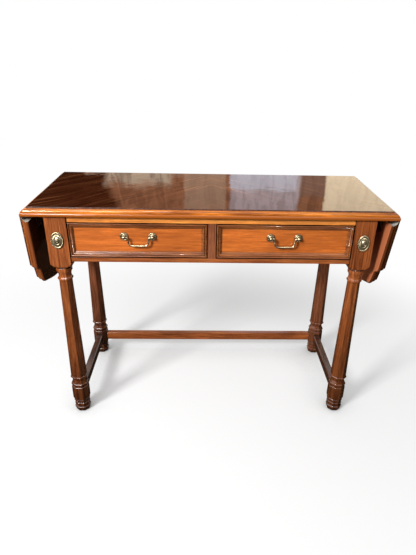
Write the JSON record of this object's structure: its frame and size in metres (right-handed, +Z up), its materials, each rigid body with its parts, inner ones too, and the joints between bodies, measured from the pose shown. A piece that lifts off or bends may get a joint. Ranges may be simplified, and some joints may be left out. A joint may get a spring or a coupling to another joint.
{
  "type": "drop-leaf console table",
  "caption": "Narrow drop-leaf console table with hanging shaped end leaves on rule joints, front drawers with swinging brass pulls, faceted legs and low stretchers.",
  "frame": {"origin": "on the floor under the middle of the top", "axes": "+Z up, the drawer fronts face -Y, the length of the top runs along X"},
  "size_m": [1.1248, 0.46, 0.762],
  "materials": {
    "top_mahogany": "high-gloss dark red-brown lacquer over figured veneer",
    "case_mahogany": "gloss orange-brown lacquer",
    "drawer_wood": "bare pale wood",
    "antique_brass": "antiqued, worn bright on the high parts",
    "hinge_brass": "dull brass",
    "screw_steel": "plain steel"
  },
  "bodies": {
    "case": {"top_board": "top_mahogany", "front_right_leg": "case_mahogany", "front_left_leg": "case_mahogany", "back_right_leg": "case_mahogany", "back_left_leg": "case_mahogany", "right_stretcher": "case_mahogany", "left_stretcher": "case_mahogany", "back_stretcher": "case_mahogany", "front_top_rail": "case_mahogany", "front_bottom_rail": "case_mahogany", "centre_divider": "case_mahogany", "right_end_apron": "case_mahogany", "left_end_apron": "case_mahogany", "back_apron": "case_mahogany", "right_drawer_runner": "drawer_wood", "left_drawer_runner": "drawer_wood", "centre_drawer_runner": "drawer_wood", "drawer_kickers": "drawer_wood", "drawer_stops": "drawer_wood", "top_buttons": "drawer_wood", "top_screws": "screw_steel", "right_post_rosette": "antique_brass", "left_post_rosette": "antique_brass", "right_hinge_top_plates": "hinge_brass", "right_stay_case_bracket": "hinge_brass", "left_hinge_top_plates": "hinge_brass", "left_stay_case_bracket": "hinge_brass", "hinge_pins": "screw_steel", "case_hardware_screws": "screw_steel"},
    "right_leaf": {"right_leaf": "top_mahogany", "right_hinge_leaf_plates": "hinge_brass", "right_leaf_screws": "screw_steel", "right_stay_leaf_bracket": "hinge_brass"},
    "right_stay_long": {"right_stay_long_link": "hinge_brass"},
    "right_stay_short": {"right_stay_short_link": "hinge_brass"},
    "right_drawer": {"right_drawer_front": "case_mahogany", "right_drawer_moulding": "case_mahogany", "right_drawer_inner_side": "drawer_wood", "right_drawer_outer_side": "drawer_wood", "right_drawer_back": "drawer_wood", "right_drawer_bottom": "drawer_wood", "right_pull_rosettes": "antique_brass", "right_pull_posts": "antique_brass"},
    "right_bail": {"right_pull_bail": "antique_brass"},
    "left_leaf": {"left_leaf": "top_mahogany", "left_hinge_leaf_plates": "hinge_brass", "left_leaf_screws": "screw_steel", "left_stay_leaf_bracket": "hinge_brass"},
    "left_stay_long": {"left_stay_long_link": "hinge_brass"},
    "left_stay_short": {"left_stay_short_link": "hinge_brass"},
    "left_drawer": {"left_drawer_front": "case_mahogany", "left_drawer_moulding": "case_mahogany", "left_drawer_inner_side": "drawer_wood", "left_drawer_outer_side": "drawer_wood", "left_drawer_back": "drawer_wood", "left_drawer_bottom": "drawer_wood", "left_pull_rosettes": "antique_brass", "left_pull_posts": "antique_brass"},
    "left_bail": {"left_pull_bail": "antique_brass"}
  },
  "joints": [
    {"name": "right_leaf_hinge", "type": "hinge", "parent": "case", "child": "right_leaf", "pos_m": [0.54, 0, 0.7395], "axis": [0, -1, 0], "range_deg": [0, 96.5]},
    {"name": "right_stay_long_pivot", "type": "hinge", "parent": "case", "child": "right_stay_long", "pos_m": [0.5, 0, 0.6845], "axis": [0, -1, 0], "range_deg": [0, 98.36]},
    {"name": "right_stay_short_pivot", "type": "hinge", "parent": "right_leaf", "child": "right_stay_short", "pos_m": [0.51264, 0, 0.63191], "axis": [0, -1, 0], "range_deg": [-144.37, 0]},
    {"name": "left_leaf_hinge", "type": "hinge", "parent": "case", "child": "left_leaf", "pos_m": [-0.54, 0, 0.7395], "axis": [0, 1, 0], "range_deg": [0, 92.5]},
    {"name": "left_stay_long_pivot", "type": "hinge", "parent": "case", "child": "left_stay_long", "pos_m": [-0.5, 0, 0.6845], "axis": [0, 1, 0], "range_deg": [0, 97.19]},
    {"name": "left_stay_short_pivot", "type": "hinge", "parent": "left_leaf", "child": "left_stay_short", "pos_m": [-0.52022, 0, 0.63026], "axis": [0, 1, 0], "range_deg": [-134.25, 0]},
    {"name": "right_drawer_slide", "type": "slide", "parent": "case", "child": "right_drawer", "axis": [0, -1, 0], "range_m": [0, 0.28]},
    {"name": "right_bail_pivot", "type": "hinge", "parent": "right_drawer", "child": "right_bail", "pos_m": [0.22125, -0.22, 0.672], "axis": [-1, 0, 0], "range_deg": [-12, 90]},
    {"name": "left_drawer_slide", "type": "slide", "parent": "case", "child": "left_drawer", "axis": [0, -1, 0], "range_m": [0, 0.28]},
    {"name": "left_bail_pivot", "type": "hinge", "parent": "left_drawer", "child": "left_bail", "pos_m": [-0.22125, -0.22, 0.672], "axis": [-1, 0, 0], "range_deg": [-12, 90]}
  ],
  "couplings": [
    {"joint": "right_stay_long_pivot", "follows": "right_leaf_hinge", "ratio": 1.0188},
    {"joint": "right_stay_short_pivot", "follows": "right_leaf_hinge", "ratio": -1.4955},
    {"joint": "left_stay_long_pivot", "follows": "left_leaf_hinge", "ratio": 1.0501},
    {"joint": "left_stay_short_pivot", "follows": "left_leaf_hinge", "ratio": -1.4508}
  ]
}
